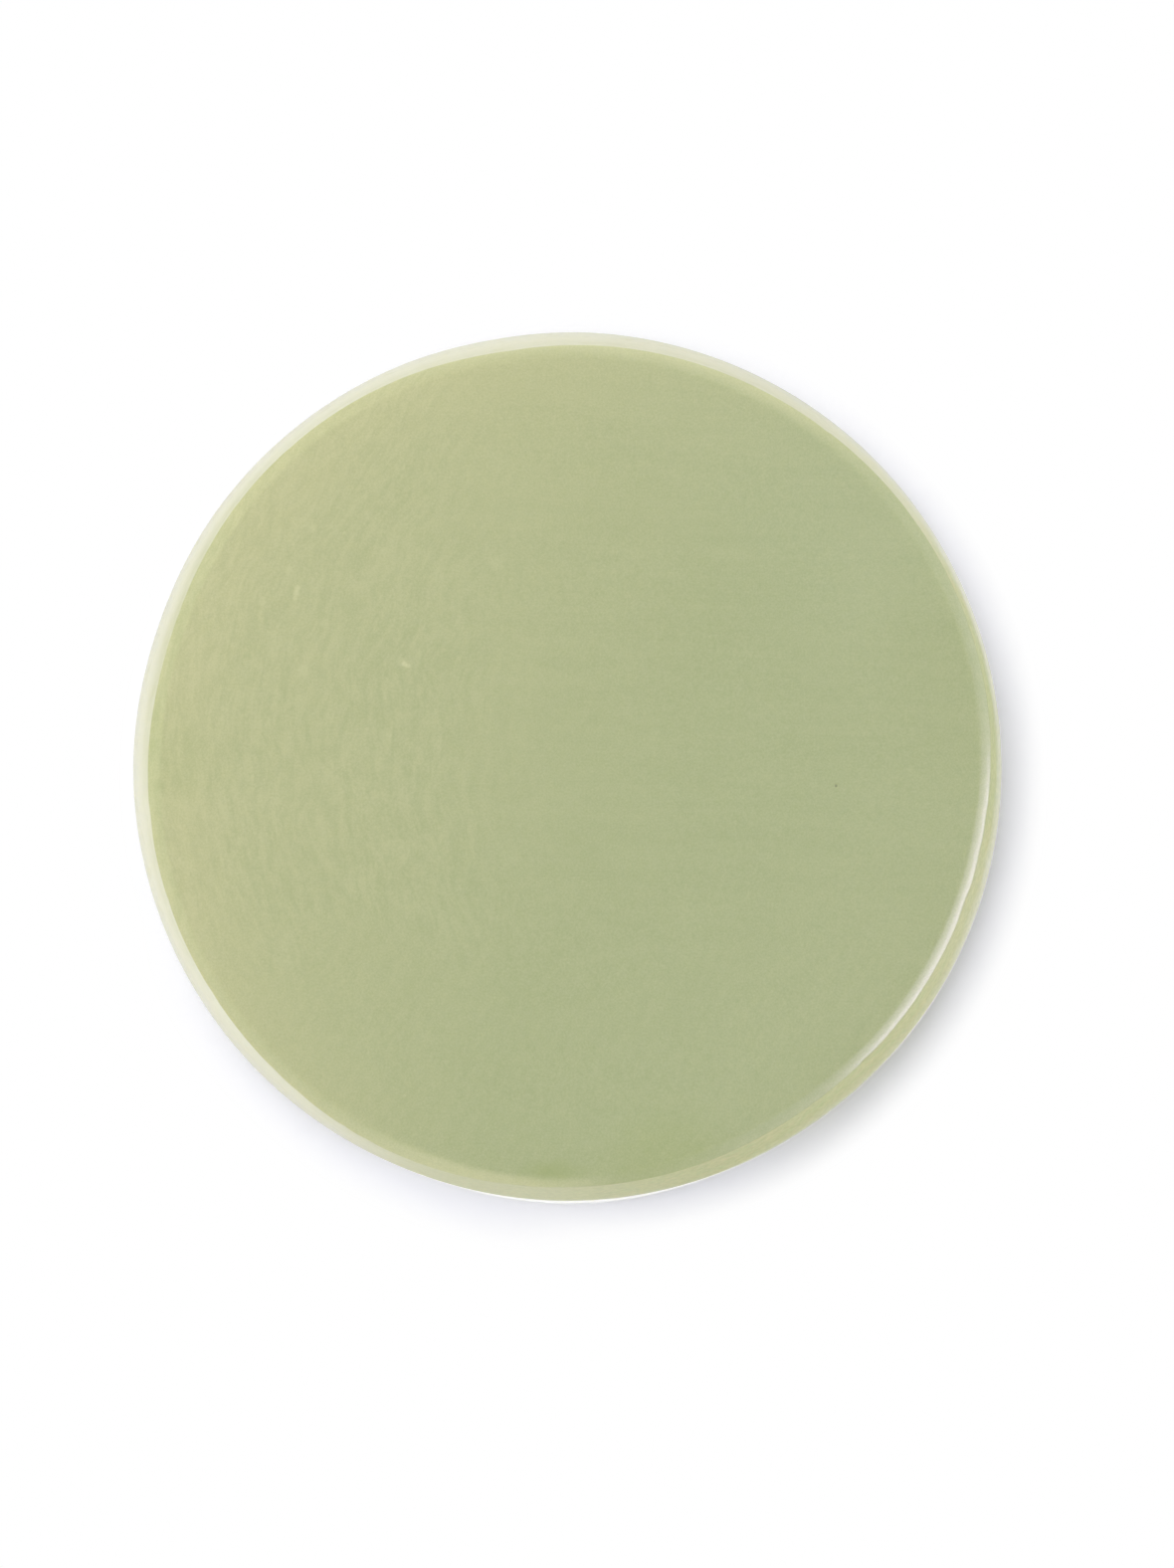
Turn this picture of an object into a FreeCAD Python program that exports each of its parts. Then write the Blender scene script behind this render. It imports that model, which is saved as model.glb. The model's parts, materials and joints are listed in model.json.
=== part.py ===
import FreeCAD, Part
import math
import os

# A round puck of hard shaving soap, pressed to shape between the two halves of a
# die and pushed out whole. Millimetres, +Z up. The origin is the middle of the flat
# face that it rests on, and Z is the axis of the puck.

# The cavity of the die.
rim_radius = 35.0          # the straight band round the widest part of the puck
rim_height = 1.0           # height of that band
parting_height = 4.2       # where the two halves of the die met, above the resting face
puck_height = 16.5         # from the resting face to the middle of the crowned face
wall_draft = 7.0           # degrees that both walls lean in, so that the puck leaves the die

# The edge that both faces have. Slopes are in degrees from level.
crease_radius = 0.25       # sharp turn at the end of the wall
bevel_radius = 5.0         # nearly flat bevel that the trimming left beside that crease
bevel_foot_slope = 42.0    # slope of the bevel where the crease ends
brow_radius = 1.0          # worn rounding between the bevel and the face
brow_foot_slope = 32.0     # slope of the brow where the bevel ends

# The face that the brush works on.
shoulder_radius = 22.0     # slow roll from the brow into the crown
shoulder_foot_slope = 8.0  # slope where the brow passes into the shoulder
crown_edge_slope = 1.2     # slope where the shoulder passes into the shallow crown

# The thin fin that was squeezed out between the halves of the die and trimmed.
flash_thickness = 0.2
flash_flat = 0.15          # how far it stands out of the band before its round lip

# What follows from those sizes.
wall_slope = 90.0 - wall_draft
wall_lean = math.tan(math.radians(wall_draft))
flash_top = parting_height + flash_thickness
rim_top = flash_top + rim_height
turn_crease = (crease_radius, wall_slope, bevel_foot_slope)
turn_bevel = (bevel_radius, bevel_foot_slope, brow_foot_slope)
brush_face_turns = (
    turn_crease,
    turn_bevel,
    (brow_radius, brow_foot_slope, shoulder_foot_slope),
    (shoulder_radius, shoulder_foot_slope, crown_edge_slope),
)
resting_face_turns = (
    turn_crease,
    turn_bevel,
    (brow_radius, brow_foot_slope, 0.0),
)


def on_arc(radius, slope):
    """Place on an arc where it has this slope: how far outward of its centre, and above it."""
    return radius * math.sin(math.radians(slope)), radius * math.cos(math.radians(slope))


class Outline:
    """Half section of one side of the puck, followed from the band towards the axis.

    base is the height where it starts and side is 1 going up or -1 going down.
    """

    def __init__(self, base, side):
        self.base = base
        self.side = side
        self.radius = rim_radius
        self.rise = 0.0
        self.edges = []

    def point(self, radius, rise):
        return FreeCAD.Vector(radius, 0.0, self.base + self.side * rise)

    def line(self, radius, rise):
        """Straight on to a point."""
        run = Part.LineSegment(self.point(self.radius, self.rise), self.point(radius, rise))
        self.edges.append(run.toShape())
        self.radius = radius
        self.rise = rise

    def turn(self, radius, steep, gentle):
        """Round an arc while the slope eases from steep to gentle."""
        start_out, start_up = on_arc(radius, steep)
        places = []
        for slope in ((steep + gentle) / 2.0, gentle):
            out, up = on_arc(radius, slope)
            places.append((self.radius + out - start_out, self.rise + up - start_up))
        middle, end = places
        arc = Part.Arc(self.point(self.radius, self.rise), self.point(*middle), self.point(*end))
        self.edges.append(arc.toShape())
        self.radius, self.rise = end


def wall_rise(face_rise, turns, edge_slope):
    """Height of the straight wall that brings the middle of the face to face_rise.

    A face that meets its edge at a slope rises to the axis by its own radius times
    the tangent of half that slope.
    """
    inward = 0.0
    upward = 0.0
    for radius, steep, gentle in turns:
        steep_out, steep_up = on_arc(radius, steep)
        gentle_out, gentle_up = on_arc(radius, gentle)
        inward += steep_out - gentle_out
        upward += gentle_up - steep_up
    crown = math.tan(math.radians(edge_slope) / 2.0)
    return (face_rise - upward - crown * (rim_radius - inward)) / (1.0 - crown * wall_lean)


def side_outline(base, side, face_rise, turns, edge_slope=0.0):
    """Wall, edge and face of one side, from the band to the axis."""
    outline = Outline(base, side)
    wall = wall_rise(face_rise, turns, edge_slope)
    outline.line(rim_radius - wall * wall_lean, wall)
    for radius, steep, gentle in turns:
        outline.turn(radius, steep, gentle)
    if edge_slope:
        crown_radius = outline.radius / math.sin(math.radians(edge_slope))
        outline.turn(crown_radius, edge_slope, 0.0)
    else:
        outline.line(0.0, face_rise)
    return outline


def band_outline():
    """The straight band with the fin of flash at its foot, which ends in a round lip."""
    lip_radius = flash_thickness / 2.0
    lip_centre = rim_radius + flash_flat
    foot = FreeCAD.Vector(rim_radius, 0.0, parting_height)
    under_lip = FreeCAD.Vector(lip_centre, 0.0, parting_height)
    tip = FreeCAD.Vector(lip_centre + lip_radius, 0.0, parting_height + lip_radius)
    over_lip = FreeCAD.Vector(lip_centre, 0.0, flash_top)
    root = FreeCAD.Vector(rim_radius, 0.0, flash_top)
    head = FreeCAD.Vector(rim_radius, 0.0, rim_top)
    return [
        Part.LineSegment(foot, under_lip).toShape(),
        Part.Arc(under_lip, tip, over_lip).toShape(),
        Part.LineSegment(over_lip, root).toShape(),
        Part.LineSegment(root, head).toShape(),
    ]


def soap_puck():
    """The whole puck: one solid turned about Z."""
    brush_side = side_outline(rim_top, 1, puck_height - rim_top, brush_face_turns, crown_edge_slope)
    resting_side = side_outline(parting_height, -1, parting_height, resting_face_turns)
    axis = Part.LineSegment(FreeCAD.Vector(0.0, 0.0, 0.0), FreeCAD.Vector(0.0, 0.0, puck_height))
    edges = brush_side.edges + resting_side.edges + band_outline() + [axis.toShape()]
    section = Part.Face(Part.Wire(Part.__sortEdges__(edges)))
    return section.revolve(FreeCAD.Vector(0.0, 0.0, 0.0), FreeCAD.Vector(0.0, 0.0, 1.0), 360.0)


os.makedirs("parts", exist_ok=True)
puck = soap_puck()
puck.exportStep(os.path.join("parts", "soap_puck.step"))
print("soap_puck: %d solid, %.1f mm3" % (len(puck.Solids), puck.Volume))
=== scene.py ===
import json
import math
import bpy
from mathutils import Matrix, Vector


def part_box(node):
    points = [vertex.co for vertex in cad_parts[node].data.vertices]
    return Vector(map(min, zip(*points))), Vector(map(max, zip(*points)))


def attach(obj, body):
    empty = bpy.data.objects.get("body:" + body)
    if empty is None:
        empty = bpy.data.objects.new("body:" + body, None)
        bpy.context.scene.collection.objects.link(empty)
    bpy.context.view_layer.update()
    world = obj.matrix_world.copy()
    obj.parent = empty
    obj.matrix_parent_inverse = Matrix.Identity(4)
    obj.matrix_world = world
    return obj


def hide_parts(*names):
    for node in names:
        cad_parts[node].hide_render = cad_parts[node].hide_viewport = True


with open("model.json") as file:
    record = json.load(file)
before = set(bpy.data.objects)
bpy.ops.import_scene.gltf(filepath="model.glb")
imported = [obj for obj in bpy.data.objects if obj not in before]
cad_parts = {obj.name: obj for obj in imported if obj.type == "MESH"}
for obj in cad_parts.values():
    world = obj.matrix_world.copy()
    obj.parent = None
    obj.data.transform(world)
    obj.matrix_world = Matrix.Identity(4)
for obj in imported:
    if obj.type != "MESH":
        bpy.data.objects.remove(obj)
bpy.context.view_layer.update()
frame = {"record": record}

from types import SimpleNamespace

import bpy
import numpy as np
from mathutils import Matrix, Vector

# A puck of hard, pale green shaving soap on a white table. Lengths are in metres, and
# those written with MM are in millimetres. The soap's own mesh takes the place of the
# plain turned solid, inside the same box.
MM = 0.001

# Sizes that the frame gives.
base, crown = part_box("soap_puck")
rim_band = next(mount for mount in frame["record"]["mounts"] if mount["name"] == "rim_band")
rim_radius = rim_band["dims"]["r_mm"] * MM
rim_foot = rim_band["pos_m"][2] - rim_band["dims"]["length_mm"] * MM / 2.0
rim_top = rim_foot + rim_band["dims"]["length_mm"] * MM
puck_height = crown[2] - base[2]
flash_reach = crown[0] - rim_radius

# The turned shape. Slopes are in degrees from level.
wall_draft = 7.0
flash_thickness = 0.2 * MM
parting_height = rim_foot - flash_thickness
crease_radius = 0.25 * MM
bevel_radius = 5.0 * MM
bevel_foot_slope = 42.0
brow_radius = 1.0 * MM
brow_foot_slope = 32.0
shoulder_radius = 22.0 * MM
shoulder_foot_slope = 8.0
crown_edge_slope = 1.2

# How finely the mesh is cut.
sectors = 576
face_step = 0.42 * MM

# Marks that chance places: how many layers of ridges and swells there are, and how many chips.
seed = 7
ridge_layers = 5
swell_layers = 7
chip_count = 26


class Section:
    """Half section of the puck: the rows of the mesh, from one point of the axis to the other.

    Each row has a radius, a height and the slope of the surface there, from 0 on the
    crown through 90 on the wall to 180 underneath.
    """

    def __init__(self):
        self.rows = []

    def add(self, radius, height, slope):
        self.rows.append((radius, height, slope))

    def line(self, end, slope, steps):
        """Evenly spaced rows on the way from the last one to end."""
        radius, height, _ = self.rows[-1]
        for step in range(1, steps + 1):
            share = step / steps
            self.add(radius + (end[0] - radius) * share, height + (end[1] - height) * share, slope)

    def turn(self, radius, end_slope, steps):
        """Round an arc of that radius, until the surface has the slope end_slope."""
        start_radius, start_height, start_slope = self.rows[-1]
        first = math.radians(start_slope)
        for step in range(1, steps + 1):
            slope = start_slope + (end_slope - start_slope) * step / steps
            now = math.radians(slope)
            out = start_radius + radius * (math.sin(now) - math.sin(first))
            up = start_height + radius * (math.cos(now) - math.cos(first))
            self.add(out, up, slope)


def arc_span(radius, steep, gentle):
    """How far in and how far up an arc goes while its slope eases from steep to gentle."""
    steep = math.radians(steep)
    gentle = math.radians(gentle)
    return radius * (math.sin(steep) - math.sin(gentle)), radius * (math.cos(gentle) - math.cos(steep))


def face_edge():
    """Radius at which the crown passes into the shoulder, which closes the section on the band."""
    spans = (
        arc_span(crease_radius, 90.0 - wall_draft, bevel_foot_slope),
        arc_span(bevel_radius, bevel_foot_slope, brow_foot_slope),
        arc_span(brow_radius, brow_foot_slope, shoulder_foot_slope),
        arc_span(shoulder_radius, shoulder_foot_slope, crown_edge_slope),
    )
    inward = sum(span[0] for span in spans)
    upward = sum(span[1] for span in spans)
    rise = math.tan(math.radians(crown_edge_slope) / 2.0)
    lean = math.tan(math.radians(wall_draft))
    tall = puck_height - rim_top - upward
    wall = (tall - rise * (rim_radius - inward)) / (1.0 - rise * lean)
    return rim_radius - wall * lean - inward


def turn_face_and_wall(section):
    """From the middle of the crown over shoulder, brow, bevel and crease, down to the band."""
    edge = face_edge()
    crown_radius = edge / math.sin(math.radians(crown_edge_slope))
    section.add(0.0, puck_height, 0.0)
    section.turn(crown_radius, crown_edge_slope, round(edge / face_step))
    section.turn(shoulder_radius, shoulder_foot_slope, 8)
    section.turn(brow_radius, brow_foot_slope, 6)
    section.turn(bevel_radius, bevel_foot_slope, 6)
    section.turn(crease_radius, 90.0 - wall_draft, 5)
    section.line((rim_radius, rim_top), 90.0 - wall_draft, 16)


def turn_band_and_flash(section):
    """Down the band, and out and back round the fin of flash at its foot."""
    section.line((rim_radius, rim_foot), 90.0, 3)
    lip = rim_radius + flash_reach - flash_thickness / 2.0
    section.line((lip, rim_foot), 0.0, 2)
    section.turn(flash_thickness / 2.0, 180.0, 6)
    section.line((rim_radius, parting_height), 180.0, 2)


def turn_lower_wall_and_base(section):
    """Down the short lower wall, round its worn edge, and in to the middle of the base."""
    spans = (
        arc_span(brow_radius, brow_foot_slope, 0.0),
        arc_span(bevel_radius, bevel_foot_slope, brow_foot_slope),
        arc_span(crease_radius, 90.0 - wall_draft, bevel_foot_slope),
    )
    wall_foot = sum(span[1] for span in spans)
    inset = (parting_height - wall_foot) * math.tan(math.radians(wall_draft))
    section.line((rim_radius - inset, wall_foot), 90.0 + wall_draft, 5)
    section.turn(crease_radius, 180.0 - bevel_foot_slope, 3)
    section.turn(bevel_radius, 180.0 - brow_foot_slope, 4)
    section.turn(brow_radius, 180.0, 6)
    section.line((0.0, 0.0), 180.0, 26)


def puck_section():
    """Every row of the puck's mesh, from the middle of the crown to the middle of the base."""
    section = Section()
    turn_face_and_wall(section)
    turn_band_and_flash(section)
    turn_lower_wall_and_base(section)
    return np.array(section.rows)


def bell(distance, width):
    """1 in the middle and almost 0 beyond twice the width."""
    return np.exp(-((distance / width) ** 2))


def turn_from(angle, middle):
    """How many degrees an angle lies from the middle, the short way round."""
    return (angle - middle + 180.0) % 360.0 - 180.0


# Places round the rim where the puck was knocked out of round: degrees, depth, half width in degrees.
flat_places = (
    (100.0, 0.10 * MM, 9.0),
    (162.0, 0.15 * MM, 13.0),
    (248.0, 0.05 * MM, 12.0),
    (308.0, 0.17 * MM, 16.0),
    (12.0, 0.05 * MM, 20.0),
)
proud_of_round = 0.03 * MM

# Where the crease over the wall wanders from its circle: degrees, how far in, half width in degrees.
crease_places = (
    (32.0, -0.24 * MM, 22.0),
    (98.0, 0.19 * MM, 17.0),
    (165.0, 0.28 * MM, 22.0),
    (246.0, -0.33 * MM, 18.0),
    (305.0, 0.13 * MM, 22.0),
    (334.0, 0.06 * MM, 14.0),
    (9.0, -0.20 * MM, 15.0),
)

# What the trimming knife left of the flash: a bare line, and one piece that it missed.
flash_left = 0.02 * MM
flash_piece = (272.0, 15.0)
flash_tail = (310.0, 30.0, 0.10 * MM)
flash_root_share = 0.9


def out_of_round(angle):
    """How much further out than a true circle the rim is at each angle."""
    out = np.full_like(angle, proud_of_round)
    for middle, depth, width in flat_places:
        out -= depth * bell(turn_from(angle, middle), width)
    return out


def crease_wander(angle):
    """How much further in than its circle the crease runs at each angle."""
    wander = np.zeros_like(angle)
    for middle, depth, width in crease_places:
        wander += depth * bell(turn_from(angle, middle), width)
    return wander


def flash_width(angle):
    """What is left of the flash at each angle."""
    middle, width = flash_piece
    piece = (flash_reach - flash_left - out_of_round(angle)) * bell(turn_from(angle, middle), width)
    tail_middle, tail_width, tail_reach = flash_tail
    tail = tail_reach * bell(turn_from(angle, tail_middle), tail_width)
    return flash_left + np.maximum(piece, tail)


def waves(across, along, length, run, draw):
    """Broken ridges: about length from crest to crest and about run long, from -1 to 1."""
    total = np.zeros_like(across)
    for _ in range(ridge_layers):
        pitch = length * draw.uniform(0.75, 1.35)
        drift = draw.uniform(0.0, 2.0 * math.pi)
        sway = draw.uniform(0.0, 2.0 * math.pi)
        phase = 2.0 * math.pi * across / pitch + drift
        phase += 1.2 * np.sin(2.0 * math.pi * along / (run * draw.uniform(0.8, 1.6)) + sway)
        total += np.sin(phase) * (0.6 + 0.4 * np.sin(2.0 * math.pi * along / run + drift))
    return total / 3.0


def soft_lumps(x, y, size, draw):
    """Slow swells in every direction, from about -1 to 1."""
    total = np.zeros_like(x)
    for _ in range(swell_layers):
        heading = draw.uniform(0.0, 2.0 * math.pi)
        pitch = size * draw.uniform(0.8, 1.6)
        drift = draw.uniform(0.0, 2.0 * math.pi)
        total += np.sin(2.0 * math.pi * (x * math.cos(heading) + y * math.sin(heading)) / pitch + drift)
    return total / 4.0


def groove(x, y, start, end, width):
    """1 along a straight cut from start to end, fading beyond its ends and sides."""
    start = np.array(start)
    end = np.array(end)
    length = np.linalg.norm(end - start)
    heading = (end - start) / length
    along = (x - start[0]) * heading[0] + (y - start[1]) * heading[1]
    across = (y - start[1]) * heading[0] - (x - start[0]) * heading[1]
    beyond = np.maximum(np.maximum(-along, along - length), 0.0)
    return bell(across, width) * bell(beyond, 4.0 * width)


def planing(x, y, draw):
    """Height that planing left: long level strokes at the right, short upright ones at the left."""
    right = 1.0 / (1.0 + np.exp(-(x + 6.0 * MM) / (4.0 * MM)))
    sagged = y + (x - 10.0 * MM) ** 2 / (220.0 * MM)
    strokes = right * waves(sagged, x, 2.4 * MM, 26.0 * MM, draw)
    bowed = x + y ** 2 / (130.0 * MM)
    chatter = (1.0 - right) * waves(bowed, y, 2.0 * MM, 9.0 * MM, draw)
    swell = soft_lumps(x, y, 15.0 * MM, draw)
    return 0.0035 * MM * strokes + 0.004 * MM * chatter + 0.010 * MM * swell


def knocks(x, y):
    """Depth of the marks that handling left: a long drag, a nick and a bruise at the front."""
    drag = groove(x, y, (-25.0 * MM, 17.8 * MM), (-13.7 * MM, 25.0 * MM), 0.45 * MM)
    nick = groove(x, y, (-8.5 * MM, -32.1 * MM), (-6.9 * MM, -32.2 * MM), 0.25 * MM)
    dent = bell(x + 1.0 * MM, 2.2 * MM) * bell(y + 32.6 * MM, 0.9 * MM)
    return 0.012 * MM * drag + 0.05 * MM * nick + 0.07 * MM * dent


def face_relief(x, y, draw):
    """Height of the brush's face above its plain turned shape, which fades out at the crease."""
    cut_back = 0.02 * MM
    inside = bell(np.maximum(np.hypot(x, y) - 33.5 * MM, 0.0), 0.4 * MM)
    return (planing(x, y, draw) - knocks(x, y) - cut_back) * inside


def chips(angle, draw):
    """Small chips along the crease: how deep each sector is bitten."""
    depth = np.zeros_like(angle)
    for _ in range(chip_count):
        middle = draw.uniform(0.0, 360.0)
        width = draw.uniform(0.4, 1.6)
        depth += draw.uniform(0.01, 0.045) * MM * bell(turn_from(angle, middle), width)
    return depth


def base_relief(x, y, draw):
    """Height of the underside above the table: it is hollow by a hair, so that it stands steady."""
    lumps = soft_lumps(x, y, 11.0 * MM, draw)
    strokes = waves(x * 0.94 + y * 0.34, y * 0.94 - x * 0.34, 2.8 * MM, 24.0 * MM, draw)
    return 0.03 * MM + 0.012 * MM * lumps + 0.005 * MM * strokes


def trimmed_flash(across, up, angle):
    """Radius and height of every vertex once the flash is trimmed to what the knife left."""
    left = flash_width(angle)
    beyond_band = across > rim_radius + 0.001 * MM
    stand_out = np.maximum(across - rim_radius, 0.0) / flash_reach
    flash_root = (across == rim_radius) & (up == rim_foot)
    radius = np.where(beyond_band, rim_radius + stand_out * left, across)
    return radius, up + flash_root * flash_root_share * left


def wander_share(across, up):
    """How far each row follows the crease: not at all at the band, and fully at the crease."""
    wall_share = np.clip((up - rim_top) / (puck_height - 1.1 * MM - rim_top), 0.0, 1.0)
    shoulder_share = bell(np.maximum(rim_radius - 1.4 * MM - across, 0.0), 4.0 * MM)
    return wall_share * shoulder_share


def crease_share(up, slope):
    """1 where the bevel turns over into the wall, and 0 further away."""
    crease_slope = 68.0
    spread = 22.0
    return bell(slope - crease_slope, spread) * (up > puck_height / 2.0)


def base_share(across, slope):
    """1 on the level underside, and 0 at its edge and on the rest of the puck."""
    level = bell(slope - 180.0, 4.0) * (across < rim_radius - 2.0 * MM)
    edge = bell(across - 33.0 * MM, 1.5 * MM)
    return level * (1.0 - edge)


def puck_points():
    """Every vertex: rows from the crown's middle to the base's, each a ring of sectors."""
    across, up, slope = np.split(puck_section(), 3, axis=1)
    draw = np.random.default_rng(seed)
    angle = np.arange(sectors) * 360.0 / sectors
    turn = np.radians(angle)
    out = np.sin(np.radians(slope))
    rise = np.cos(np.radians(slope))
    x = across * np.cos(turn)
    y = across * np.sin(turn)
    radius, height = trimmed_flash(across, up, angle)
    radius = radius + out_of_round(angle) * (across / rim_radius) ** 3
    radius = radius - crease_wander(angle) * wander_share(across, up)
    lift = np.where(rise > 0.0, face_relief(x, y, draw), 0.0)
    bite = crease_share(up, slope) * chips(angle, draw)
    height = height + lift - bite * rise + base_share(across, slope) * base_relief(x, y, draw)
    radius = radius - bite * out
    points = np.stack([radius * np.cos(turn), radius * np.sin(turn), height], axis=2)
    points[0] = points[0].mean(axis=0)
    points[-1] = points[-1].mean(axis=0)
    return points


def turned_mesh(name, points):
    """A closed mesh from rings of points whose first and last rings are single points."""
    rings = len(points) - 2
    vertices = np.concatenate([points[0, :1], points[1:-1].reshape(-1, 3), points[-1, :1]])
    faces = []
    last = len(vertices) - 1
    for sector in range(sectors):
        after = (sector + 1) % sectors
        faces.append((0, 1 + sector, 1 + after))
        for ring in range(rings - 1):
            top = 1 + ring * sectors
            low = top + sectors
            faces.append((top + sector, low + sector, low + after, top + after))
        end = 1 + (rings - 1) * sectors
        faces.append((last, end + after, end + sector))
    mesh = bpy.data.meshes.new(name)
    mesh.from_pydata(vertices.tolist(), [], faces)
    mesh.polygons.foreach_set("use_smooth", [True] * len(faces))
    mesh.update()
    return mesh


class Reading:
    """A value that varies over the surface, for use in sums and products."""

    def __init__(self, finish, socket):
        self.finish = finish
        self.socket = socket

    def __add__(self, other):
        return self.finish.maths("ADD", self, other)

    def __sub__(self, other):
        return self.finish.maths("SUBTRACT", self, other)

    def __rsub__(self, other):
        return self.finish.maths("SUBTRACT", other, self)

    def __mul__(self, other):
        return self.finish.maths("MULTIPLY", self, other)

    def __truediv__(self, other):
        return self.finish.maths("DIVIDE", self, other)

    def __abs__(self):
        return self.finish.maths("ABSOLUTE", self, 0.0)

    __radd__ = __add__
    __rmul__ = __mul__


class Finish:
    """The nodes of one material, or of the world.

    Places on the puck and all sizes are in millimetres here. A plan is a place without
    its height. Headings are in degrees: 0 is to the right and 90 is away from the front.
    """

    def __init__(self, owner):
        self.owner = owner
        owner.use_nodes = True
        self.tree = owner.node_tree
        self.tree.nodes.clear()

    def node(self, kind, settings=None, sockets=None, output=0):
        """Adds a node with its settings, then its sockets' values or links, and gives an output."""
        node = self.tree.nodes.new(kind)
        for setting, value in (settings or {}).items():
            setattr(node, setting, value)
        for socket, value in (sockets or {}).items():
            if isinstance(value, Reading):
                self.tree.links.new(value.socket, node.inputs[socket])
            else:
                node.inputs[socket].default_value = value
        return Reading(self, node.outputs[output]) if node.outputs else None

    def maths(self, operation, first, second):
        return self.node("ShaderNodeMath", {"operation": operation}, {0: first, 1: second})

    def vector(self, operation, first, second, output=0):
        """Vector maths. Output 0 is a vector and output 1 is a number."""
        return self.node("ShaderNodeVectorMath", {"operation": operation}, {0: first, 1: second}, output)

    def step(self, value, low, high):
        """0 up to low, 1 from high on, with a smooth rise between them."""
        sockets = {"Value": value, "From Min": low, "From Max": high}
        return self.node("ShaderNodeMapRange", {"interpolation_type": "SMOOTHSTEP"}, sockets)

    def blend(self, share, first, second):
        """A colour that goes from first to second as share goes from 0 to 1."""
        return self.node("ShaderNodeMix", {"data_type": "RGBA"}, {0: share, 6: first, 7: second}, 2)

    def place(self):
        """Where a point is on the puck."""
        here = self.node("ShaderNodeTexCoord", output=3)
        return self.node("ShaderNodeVectorMath", {"operation": "SCALE"}, {0: here, 3: 1.0 / MM})

    def plan(self, place):
        """The place as seen from straight above, with no height."""
        return self.vector("MULTIPLY", place, (1.0, 1.0, 0.0))

    def facing(self):
        """The direction that the surface faces, as the puck itself has it."""
        return self.node("ShaderNodeTexCoord", output=1)

    def apart(self, place):
        """The three numbers of a place."""
        split = self.node("ShaderNodeSeparateXYZ", sockets={0: place}).socket.node
        return [Reading(self, split.outputs[axis]) for axis in range(3)]

    def together(self, x, y, z):
        return self.node("ShaderNodeCombineXYZ", sockets={0: x, 1: y, 2: z})

    def stretch(self, place, x, y, z):
        """The place with each axis divided, so that a pattern grows that much along it."""
        return self.vector("MULTIPLY", place, (1.0 / x, 1.0 / y, 1.0 / z))

    def shaken(self, place, size, reach):
        """The place pushed about by soft noise, so that a pattern there runs less straight."""
        sockets = {"Vector": place, "Scale": 1.0 / size, "Detail": 1.0}
        push = self.node("ShaderNodeTexNoise", sockets=sockets, output=1)
        sockets = {0: push, 1: (reach, reach, 0.0), 2: place}
        return self.node("ShaderNodeVectorMath", {"operation": "MULTIPLY_ADD"}, sockets)

    def noise(self, place, size, detail=2.0, roughness=0.5):
        """Soft noise from 0 to 1 with lumps about that size."""
        sockets = {"Vector": place, "Scale": 1.0 / size, "Detail": detail, "Roughness": roughness}
        return self.node("ShaderNodeTexNoise", sockets=sockets)

    def distance(self, plan, x, y):
        """How far a place of the plan lies from the point x, y."""
        return self.vector("DISTANCE", plan, (x, y, 0.0), 1)

    def spot(self, plan, x, y, size):
        """1 at one place of the plan, fading over size."""
        return 1.0 - self.step(self.distance(plan, x, y), size * 0.3, size)

    def reach(self, place, heading):
        """How far a place lies from the axis towards a heading."""
        turn = math.radians(heading)
        return self.vector("DOT_PRODUCT", place, (math.cos(turn), math.sin(turn), 0.0), 1)

    def side(self, place, heading, low, high):
        """0 up to low and 1 from high on, on the way from the axis towards a heading."""
        return self.step(self.reach(place, heading), low, high)

    def surface(self, kind, sockets):
        """The last node: a shader with its sockets, as the material's surface."""
        shader = self.node(kind, sockets=sockets)
        self.node("ShaderNodeOutputMaterial", sockets={"Surface": shader})
        return self.owner


# Colours of the soap, from the moist green of its heart to the dry white of its lip. Some stand
# for painted light: the white of the wall and the pale foot are painted reflection and light,
# pale straw on the bevel is painted light, and the shaded edge is painted shade. A pit is
# darker, and black is no painted glow at all.
leaf = (0.330, 0.395, 0.184, 1.0)
dull = (0.350, 0.410, 0.165, 1.0)
green = (0.385, 0.432, 0.228, 1.0)
cool_green = (0.412, 0.460, 0.257, 1.0)
straw = (0.525, 0.526, 0.284, 1.0)
pale_straw = (0.590, 0.600, 0.350, 1.0)
shaded_edge = (0.540, 0.520, 0.275, 1.0)
bloom = (0.740, 0.730, 0.450, 1.0)
greenish_wall = (0.420, 0.480, 0.210, 1.0)
orange_wall = (0.520, 0.490, 0.240, 1.0)
painted_white_wall = (0.875, 0.850, 0.730, 1.0)
pale_foot = (0.745, 0.740, 0.690, 1.0)
lip = (0.940, 0.940, 0.920, 1.0)
pit = (0.120, 0.130, 0.070, 1.0)
black = (0.0, 0.0, 0.0, 1.0)

# Pale marks on the face: place across and up, size, strength.
pale_marks = (
    (-13.05, 8.05, 0.32, 0.42),
    (-12.75, 7.92, 0.28, 0.28),
    (-13.40, 8.30, 0.50, 0.18),
    (-21.62, 14.15, 0.34, 0.30),
    (-21.70, 13.75, 0.36, 0.32),
    (-21.80, 13.35, 0.28, 0.24),
    (-24.50, 13.10, 0.50, 0.12),
    (-25.70, 7.20, 0.60, 0.10),
    (-21.10, 7.60, 0.70, 0.12),
    (-14.30, 2.40, 0.40, 0.14),
    (-18.70, -2.70, 0.70, 0.12),
    (-19.50, 11.30, 0.50, 0.12),
    (-22.40, 15.70, 0.45, 0.14),
    (-20.50, 19.00, 0.60, 0.13),
    (-14.70, 17.10, 0.36, 0.14),
    (-5.70, 16.10, 0.80, 0.14),
)


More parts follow.
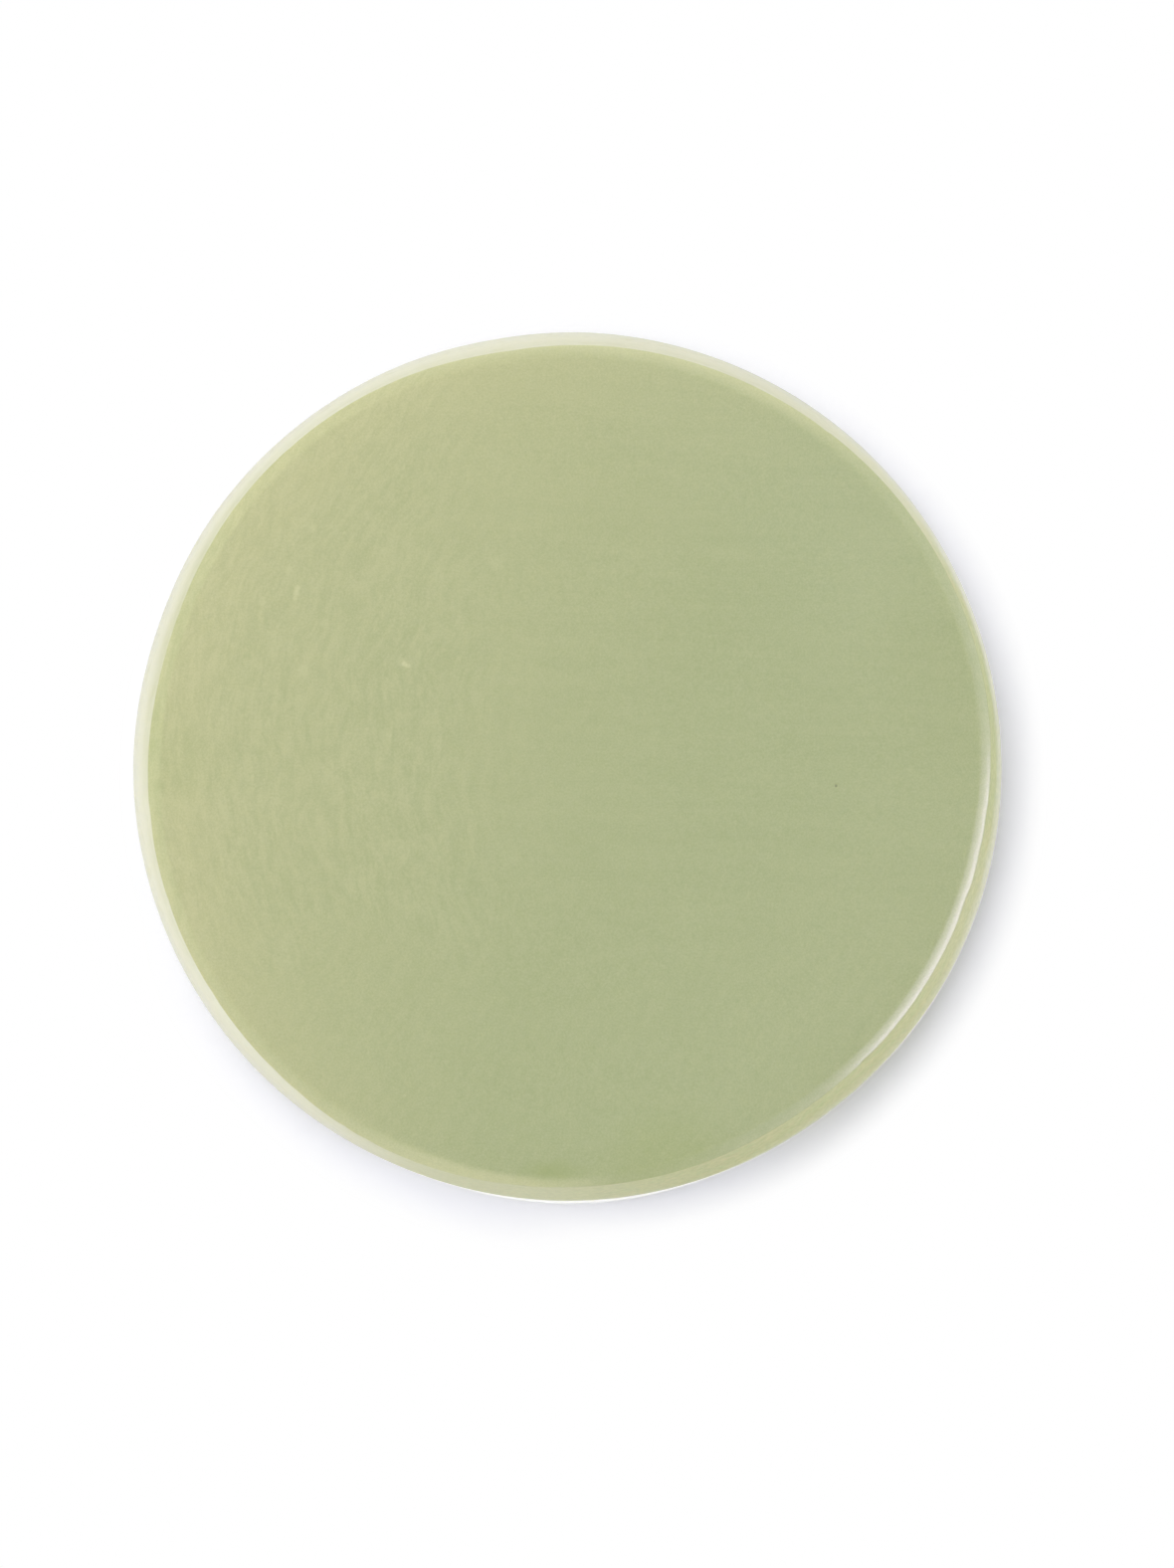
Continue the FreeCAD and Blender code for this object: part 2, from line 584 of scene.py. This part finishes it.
def streaks(soap, place, heading, across, along):
    """Noise drawn out along a heading into streaks, which are so wide and so long."""
    turn = {"Vector": place, "Angle": math.radians(-heading)}
    turned = soap.node("ShaderNodeVectorRotate", {"rotation_type": "Z_AXIS"}, turn)
    return soap.noise(soap.stretch(turned, along, across, 4.0), 1.0, 4.0, 0.62) - 0.5


def bowed_streaks(soap, place, across, along):
    """Noise drawn out into arcs that bulge to the left, like the rim there."""
    x, y, z = soap.apart(place)
    unbent = soap.together(x - y * y / 84.0, y, z)
    return streaks(soap, unbent, 92.0, across, along)


def upright_flakes(soap, place):
    """The left of the face: bowed flakes, patches and threads, and fine lines along the rim."""
    loose = soap.shaken(place, 5.0, 2.4)
    flakes = soap.step(bowed_streaks(soap, loose, 0.80, 2.2), -0.17, 0.17) - 0.5
    patches = bowed_streaks(soap, loose, 1.5, 5.0)
    threads = bowed_streaks(soap, loose, 0.32, 1.6)
    weft = streaks(soap, place, -4.0, 0.30, 1.8)
    rim_lines = bowed_streaks(soap, place, 0.30, 7.0) * soap.side(place, 180.0, 14.0, 27.0)
    return 0.26 * flakes + 0.36 * patches + 0.26 * threads + 0.20 * weft + 0.36 * rim_lines


def level_strokes(soap, place):
    """The right of the face: long level strokes, with fine ones between them."""
    return 0.28 * streaks(soap, place, -3.0, 1.5, 11.0) + 0.16 * streaks(soap, place, -2.0, 0.35, 8.0)


def flow(soap, place):
    """What the press left: upright flakes at the left, level strokes at the right, steep ones in front."""
    x, y, _ = soap.apart(place)
    wander = 12.0 * soap.noise(place, 9.0) - 6.0
    right = soap.step(x + 0.15 * y + wander, -13.0, 3.0)
    front = soap.step(wander - y, 9.0, 19.0)
    upper = upright_flakes(soap, place) * (1.0 - right) + level_strokes(soap, place) * right
    return upper * (1.0 - front) + 0.38 * streaks(soap, place, 62.0, 0.8, 3.2) * front


def whereabouts(soap):
    """What the colours go by: the place, how level it lies, the sides where light and reflection are
    painted, and the soap's grain.

    level is 1 where the surface lies flat and 0 where it stands upright. The sides are 1
    where their name says. The grain, from blotch to streak, goes evenly either way from 0.
    """
    place = soap.place()
    here = SimpleNamespace(place=place, plan=soap.plan(place), height=soap.apart(place)[2])
    here.radius = soap.distance(here.plan, 0.0, 0.0)
    here.level = abs(soap.apart(soap.facing())[2])
    here.wall = 1.0 - soap.step(here.level, 0.30, 0.62)
    # How far a place lies towards the lit left, made less straight by noise. The lit side that follows it is
    # painted warmer and lighter, as warm light falls there.
    leftward = soap.reach(place, 155.8) + 12.8 * soap.noise(place, 18.0)
    here.warm_side = soap.step(leftward, -8.2, 39.2)
    here.front_side = soap.side(place, -90.0, 28.0, 33.0)
    here.far_corner = soap.side(place, 55.2, 29.0, 34.5)
    here.pale_side = pale_side(soap, here, leftward)
    here.blotch = soap.noise(place, 2.2, 2.0, 0.5) - 0.5
    here.ticks = soap.noise(soap.stretch(place, 0.55, 0.55, 3.0), 1.0, 3.0, 0.6) - 0.5
    here.cloud = soap.noise(place, 7.0, 3.0, 0.55) - 0.5
    here.grain = soap.noise(place, 0.16, 2.0, 0.7) - 0.5
    here.streak = flow(soap, place)
    return here


def pale_side(soap, here, leftward):
    """1 where the wall is painted almost white, a painted reflection of the lit white table and painted
    light: at the left, and less so at the far corner and near front.
    """
    unwhitened = 1.0 - soap.step(leftward, -20.1, 16.4)
    unwhitened = unwhitened * (1.0 - 0.7 * here.far_corner)
    unwhitened = unwhitened * (1.0 - 0.3 * soap.spot(here.plan, -9.0, -34.0, 14.0))
    return 1.0 - unwhitened


def brightened_brow(soap, here, colour):
    """The colour with its brow and bevel in paler straw: painted light that makes up for the shade the steep
    bevel gets, most at the back, the near left and the front middle; and a painted shade on the steep edge
    at the lit left.
    """
    brow = soap.step(here.radius, 32.85, 33.5)
    back = soap.side(here.place, 80.2, 25.0, 33.5) * soap.step(here.radius, 32.7, 33.7)
    near_left = soap.side(here.place, -117.3, 30.4, 34.7) * soap.step(here.radius, 32.3, 34.0)
    near_middle = soap.spot(here.plan, -6.5, -33.0, 12.0)
    edge = 1.0 - soap.step(here.level, 0.62, 0.90)
    # Painted light: the brow and the steep bevel turn paler straw, to make up for their shade.
    colour = soap.blend(brow * (0.12 - 0.12 * here.warm_side + 0.85 * near_middle), colour, pale_straw)
    colour = soap.blend(back, colour, pale_straw)
    colour = soap.blend(0.75 * near_left, colour, pale_straw)
    # Painted shade: the steep edge at the lit left turns a duller straw.
    return soap.blend(0.30 * edge * here.warm_side, colour, shaded_edge)


def green_brow(soap, here, colour):
    """The colour with places of the brow and the bevel made greener and duller."""
    front_edge = soap.spot(here.plan, 8.0, -32.8, 7.0)
    left_edge = soap.spot(here.plan, -33.0, 0.5, 6.0)
    right_edge = soap.spot(here.plan, 32.0, 6.0, 13.0)
    leftness = soap.reach(here.place, 174.9) / here.radius
    left_bevel = soap.step(leftness, 0.837, 0.946) * soap.step(here.radius, 32.2, 32.9)
    colour = soap.blend(0.4 * front_edge + 0.2 * left_edge, colour, dull)
    return soap.blend(0.22 * left_bevel + 0.8 * right_edge, colour, green)


def bruise(soap, place):
    """1 in a soft darker patch at the front of the face, where the puck was knocked."""
    away = soap.vector("SUBTRACT", place, (-1.2, -32.6, puck_height / MM))
    away = soap.stretch(away, 3.2, 1.1, 3.0)
    distance = soap.vector("DISTANCE", away, (0.0, 0.0, 0.0), 1)
    return 1.0 - soap.step(distance + 0.9 * soap.noise(place, 1.6), 0.45, 1.7)


def face_colour(soap, here):
    """Green, cooler at the right and straw at the left, where the straw is painted warm light on the lit
    side, more towards the rim, with flakes of leaf and bloom in it.
    """
    cool_side = 0.6 * soap.side(here.place, -24.8, 2.0, 29.9) + 0.8 * soap.side(here.place, 39.7, 16.0, 29.0)
    towards_rim = soap.step(here.radius, 26.0, 33.0)
    mottle = soap.noise(here.place, 0.7, 2.0, 0.6) - 0.5
    flaking = 0.5 + 2.0 * here.streak + 0.35 * here.cloud + 2.0 * here.grain + 0.6 * mottle
    colour = soap.blend(cool_side, green, cool_green)
    # Painted warm light: the lit left of the face turns straw, more towards the rim.
    colour = soap.blend(here.warm_side * (0.72 + 0.35 * towards_rim), colour, straw)
    colour = brightened_brow(soap, here, colour)
    colour = green_brow(soap, here, colour)
    colour = soap.blend(flaking, soap.blend(0.22, colour, leaf), soap.blend(0.20, colour, bloom))
    return soap.blend(0.55 * bruise(soap, here.place), colour, dull)


def mottled_wall(soap, here):
    """The wall's mottle of green and orange, with straw and dull green at the right."""
    colour = soap.blend(0.5 + 1.6 * here.blotch + 0.9 * here.ticks, greenish_wall, orange_wall)
    colour = soap.blend(0.5 * soap.spot(here.plan, 31.5, -12.0, 9.5), colour, straw)
    return soap.blend(0.4 * soap.spot(here.plan, 34.5, 3.5, 12.0), colour, dull)


def crease_shade_and_chips(soap, here):
    """How much straw shows on the painted white of the wall: a painted shade under the crease, less at the
    lit crease, and chips at the foot.
    """
    west = soap.side(here.place, 158.0, 30.0, 34.0)
    lit_crease = soap.side(here.place, -140.3, 32.6, 34.2)
    chipped = soap.step(soap.noise(here.place, 1.1, 2.0, 0.6), 0.50, 0.68)
    top = soap.step(here.height, 9.0, 14.5) * (0.26 + 0.35 * west + 0.6 * here.blotch)
    foot = 0.28 * chipped * (1.0 - soap.step(here.height, 7.0, 11.0))
    return here.pale_side * (top * (1.0 - lit_crease) + foot)


def painted_pale_foot(soap, here):
    """1 at the foot of the wall, up to a ragged line that is highest at the right: where a painted
    reflection of the white table makes the wall pale.
    """
    far_right = soap.side(here.place, 42.2, 26.0, 34.1)
    right = soap.side(here.place, -5.7, 32.0, 34.8)
    front_right = soap.side(here.place, -50.3, 31.0, 34.5)
    raised = 3.0 * far_right + 1.5 * right - 3.0 * here.far_corner - 2.5 * here.front_side
    below = 1.0 - soap.step(here.height - raised + 4.0 * here.blotch, 4.2, 10.2)
    return below * (0.72 + 0.20 * far_right - 0.40 * front_right)


def wall_colour(soap, here):
    """Mottled green and straw at the right; almost white at the left, the back and the foot, where the white
    is painted reflection and light.
    """
    white_foot = here.front_side * (1.0 - soap.step(here.height, 4.3, 6.4))
    beads = soap.noise(soap.stretch(here.place, 0.45, 0.45, 0.9), 1.0, 2.0, 0.5) - 0.5
    speckle = 0.5 + beads * (2.2 - 1.5 * here.pale_side)
    # Painted reflection and light: the wall on the lit side turns almost white.
    colour = soap.blend(0.85 * here.pale_side, mottled_wall(soap, here), painted_white_wall)
    # Painted shade under the crease, and straw chips at the foot.
    colour = soap.blend(crease_shade_and_chips(soap, here), colour, straw)
    # Painted reflection: the foot of the wall turns pale, as the white table beside it would show.
    colour = soap.blend(painted_pale_foot(soap, here), colour, pale_foot)
    colour = soap.blend(0.60 * soap.spot(here.plan, -5.0, -34.0, 14.0), colour, pale_straw)
    colour = soap.blend(0.80 * white_foot, colour, lip)
    return soap.blend(speckle, soap.blend(0.26, colour, leaf), soap.blend(0.22, colour, bloom))


def flecks(soap, here):
    """Pale specks in the soap: a few that stand out, and a scatter of faint ones."""
    cells = soap.node("ShaderNodeTexVoronoi", sockets={"Vector": here.place, "Scale": 1.0 / 5.0})
    total = 0.15 * (1.0 - soap.step(cells, 0.01, 0.04))
    for across, up, size, strength in pale_marks:
        total = total + strength * soap.spot(here.plan, across, up, size)
    return total


def dry_flash(soap, here):
    """1 on the flash and where it springs from the walls, and 0 on the upright face of the band."""
    foot = parting_height / MM
    top = rim_foot / MM
    above_foot = soap.step(here.height, foot - 0.23, foot - 0.15)
    above_top = soap.step(here.height, top + 0.05, top + 0.30)
    upright = 1.0 - soap.step(here.level, 0.15, 0.45)
    band = upright * soap.step(here.height, foot + 0.02, foot + 0.08)
    faded = 0.45 * soap.spot(here.plan, 20.5, -28.5, 13.0)
    return above_foot * (1.0 - above_top) * (1.0 - band) * (1.0 - faded)


def rubbed_sheen(soap, here):
    """How much polish fingers gave the brow and the bevel: most at the right."""
    rubbed = 0.35 + 0.60 * soap.side(here.place, -19.9, 16.0, 27.0)
    return rubbed * (1.0 - soap.step(here.level, 0.84, 0.97)) * (1.0 - here.wall)


def soap_finish():
    """Pale green milled soap, faintly flaked and waxy: paler and yellower on the lit left, on the wall and
    on the bevel, where light and reflection are painted.
    """
    soap = Finish(bpy.data.materials.new("pressed_soap"))
    here = whereabouts(soap)
    flash = dry_flash(soap, here)
    pinhole = soap.spot(here.plan, 21.5, -1.7, 0.16)
    colour = soap.blend(here.wall, face_colour(soap, here), wall_colour(soap, here))
    colour = soap.blend(flecks(soap, here), colour, bloom)
    colour = soap.blend(flash, colour, lip)
    colour = soap.blend(0.5 * pinhole, colour, pit)
    relief = 0.004 * here.streak * (1.0 - here.wall) + 0.005 * here.ticks * here.wall
    relief = relief + 0.002 * here.grain - 0.05 * pinhole
    # Painted glow: the flash shines by itself, a little on the lit side and most at the front.
    painted_glow = flash * (0.05 * here.pale_side + 0.20 * soap.side(here.place, -90.0, 29.0, 33.5))
    return soap.surface("ShaderNodeBsdfPrincipled", {
        "Base Color": colour,
        "Roughness": 0.60 + 0.04 * here.wall + 0.03 * here.cloud,
        "Normal": soap.node("ShaderNodeBump", sockets={"Distance": MM, "Height": relief}),
        "IOR": 1.47,
        "Subsurface Weight": 0.25,
        "Subsurface Radius": (1.0, 0.9, 0.5),
        "Subsurface Scale": 0.8 * MM,
        "Coat Weight": rubbed_sheen(soap, here),
        "Coat Roughness": 0.24,
        "Emission Color": soap.blend(painted_glow, black, lip),
        "Emission Strength": 1.0,
    })


def soap_puck():
    """The puck itself."""
    mesh = turned_mesh("soap_puck_dressed", puck_points())
    mesh.materials.append(soap_finish())
    puck = bpy.data.objects.new("soap_puck_dressed", mesh)
    bpy.context.scene.collection.objects.link(puck)
    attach(puck, "root")
    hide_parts("soap_puck")


# The studio. The table throws a plain white light on the puck, and shows as a cooler one.
white = (1.0, 1.0, 1.0, 1.0)
lit_table = (0.8, 0.8, 0.8, 1.0)
shown_table = (1.07, 1.07, 1.18, 1.0)
lamp_distance = 0.60


def seen_directly(finish):
    """1 for what the lens, a gloss or a clear thing shows, and 0 for what only lights the puck."""
    path = finish.node("ShaderNodeLightPath").socket.node.outputs
    camera_ray, glossy_ray, through_ray = (
        Reading(finish, path[name])
        for name in ("Is Camera Ray", "Is Glossy Ray", "Is Transmission Ray")
    )
    return finish.maths("MINIMUM", camera_ray + glossy_ray + through_ray, 1.0)


def table_paint():
    """White that keeps the puck's shadow close round it, and is plain white further out."""
    paint = Finish(bpy.data.materials.new("white_table"))
    place = paint.place()
    near_shade = paint.side(place, -125.0, 29.0, 35.0)
    clear = paint.step(paint.distance(place, 1.2, -0.8) - 1.2 * near_shade, 33.95, 37.55)
    shown = seen_directly(paint)
    matt = paint.node("ShaderNodeBsdfDiffuse", sockets={"Color": paint.blend(shown, lit_table, shown_table)})
    plain = paint.node("ShaderNodeEmission", sockets={"Color": white})
    return paint.surface("ShaderNodeMixShader", {0: clear * shown, 1: matt, 2: plain})


def table_top():
    """A white table, wide enough to reach the horizon."""
    reach = 6.0
    corners = [(-reach, -reach, 0.0), (reach, -reach, 0.0), (reach, reach, 0.0), (-reach, reach, 0.0)]
    mesh = bpy.data.meshes.new("table_top")
    mesh.from_pydata(corners, [], [(0, 1, 2, 3)])
    mesh.materials.append(table_paint())
    table = bpy.data.objects.new("table_top", mesh)
    bpy.context.scene.collection.objects.link(table)


def softbox(name, azimuth, elevation, width, height, level, lights=True, mirrored=True):
    """A rectangular lamp turned to the puck. A level of 1 looks as bright as white paper."""
    lamp = bpy.data.lights.new(name, "AREA")
    lamp.shape = "RECTANGLE"
    lamp.size = width
    lamp.size_y = height
    lamp.energy = math.pi * width * height * level
    holder = bpy.data.objects.new(name, lamp)
    flat = math.cos(math.radians(elevation)) * lamp_distance
    holder.location = (
        flat * math.cos(math.radians(azimuth)),
        flat * math.sin(math.radians(azimuth)),
        math.sin(math.radians(elevation)) * lamp_distance + puck_height / 2.0,
    )
    towards = Vector((0.0, 0.0, puck_height / 2.0)) - holder.location
    holder.rotation_euler = towards.to_track_quat("-Z", "Y").to_euler()
    holder.visible_camera = False
    holder.visible_diffuse = lights
    holder.visible_glossy = mirrored
    bpy.context.scene.collection.objects.link(holder)
    return lamp


def broad_lamps():
    """The window behind the puck at the left, a light overhead, and a wing at each side."""
    softbox("window", 148.0, 52.0, 0.70, 0.26, 2.18)
    softbox("overhead", 148.0, 80.0, 0.45, 0.35, 1.55)
    softbox("far_wing", 75.0, 45.0, 0.30, 0.25, 2.65)
    softbox("near_wing", 230.0, 50.0, 0.35, 0.25, 2.25)


def low_lamps():
    """Lamps close to the table, which light the wall all round."""
    softbox("low_far", 95.0, 8.0, 0.75, 0.16, 3.1, mirrored=False)
    softbox("low_left", 170.0, 8.0, 0.33, 0.16, 2.1, mirrored=False)
    softbox("low_near", 215.0, 8.0, 0.33, 0.16, 5.2, mirrored=False)
    softbox("low_front", 251.0, 8.0, 0.25, 0.16, 1.7, mirrored=False)
    softbox("low_right", 15.0, 10.0, 0.20, 0.15, 1.1)
    softbox("low_strip", 341.0, 12.0, 0.46, 0.16, 8.0, mirrored=False)


def gleam_lamps():
    """The narrow highlight on the bevel at the front right, and a weak one above it."""
    tint = (1.0, 0.83, 1.17)
    softbox("gleam", 336.4, 8.5, 0.515, 0.10, 10.3, lights=False).color = tint
    softbox("halo", 337.0, 24.0, 0.48, 0.16, 1.1, lights=False).color = tint


def room_light(level):
    """Even light from all sides. What a camera or a gloss sees of the room is white."""
    bpy.context.scene.world = bpy.data.worlds.new("studio")
    room = Finish(bpy.context.scene.world)
    strength = level + (1.0 - level) * seen_directly(room)
    light = room.node("ShaderNodeBackground", sockets={"Color": white, "Strength": strength})
    room.node("ShaderNodeOutputWorld", sockets={"Surface": light})


def camera():
    """A long lens almost straight above the puck, leaning a little to its front right."""
    lean = math.radians(0.6)
    heading = math.radians(-89.0)
    distance = 1.6
    field = 126.5 * MM
    aim = Vector((1.57 * MM, -1.42 * MM, rim_foot))
    side = math.sin(lean) * distance
    away = Vector((side * math.cos(heading), side * math.sin(heading), math.cos(lean) * distance))
    lens = bpy.data.cameras.new("camera")
    lens.lens = lens.sensor_width * distance / field
    lens.clip_start = 0.01
    lens.clip_end = 50.0
    view = bpy.data.objects.new("camera", lens)
    back = away.normalized()
    right = Vector((0.0, 1.0, 0.0)).cross(back).normalized()
    up = back.cross(right)
    turn = Matrix((right, up, back)).transposed().to_4x4()
    view.matrix_world = Matrix.Translation(aim + away) @ turn
    bpy.context.scene.collection.objects.link(view)
    bpy.context.scene.camera = view


soap_puck()
table_top()
broad_lamps()
low_lamps()
gleam_lamps()
room_light(0.11)
camera()
bpy.context.scene.view_settings.view_transform = "Standard"
